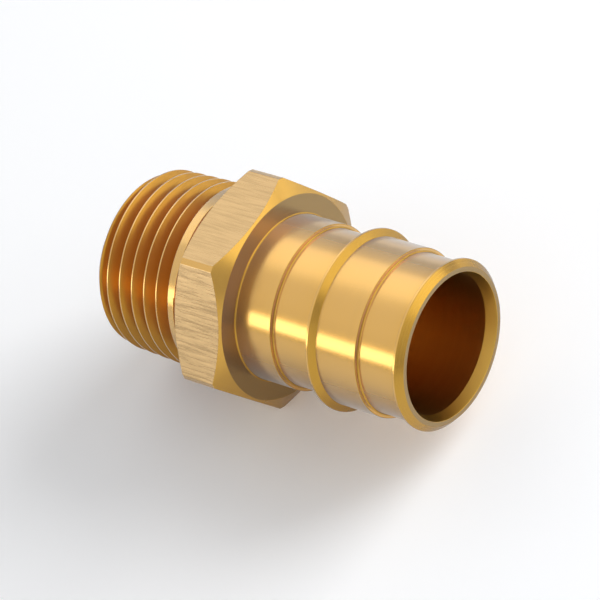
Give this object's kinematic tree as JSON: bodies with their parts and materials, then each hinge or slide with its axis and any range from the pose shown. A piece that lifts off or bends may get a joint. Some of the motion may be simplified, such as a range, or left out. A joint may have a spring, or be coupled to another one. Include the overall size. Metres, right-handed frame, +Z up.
{
  "type": "pex male adapter",
  "caption": "Brass male adapter for expanded plastic pipe: a bored body with a ribbed tail, a chamfered wrench hexagon and a male taper pipe thread.",
  "frame": {"origin": "under the middle of the piece, on the surface it lies on", "axes": "+X along the bore, out of the ribbed pipe end; +Z up, square to the hexagon flat it lies on; +Y to the left seen from above with +X ahead"},
  "size_m": [0.0414, 0.0274, 0.024],
  "materials": {
    "brass": "turned and bright, with brushed hexagon flats"
  },
  "bodies": {
    "root": {"adapter_body": "brass"}
  },
  "joints": []
}
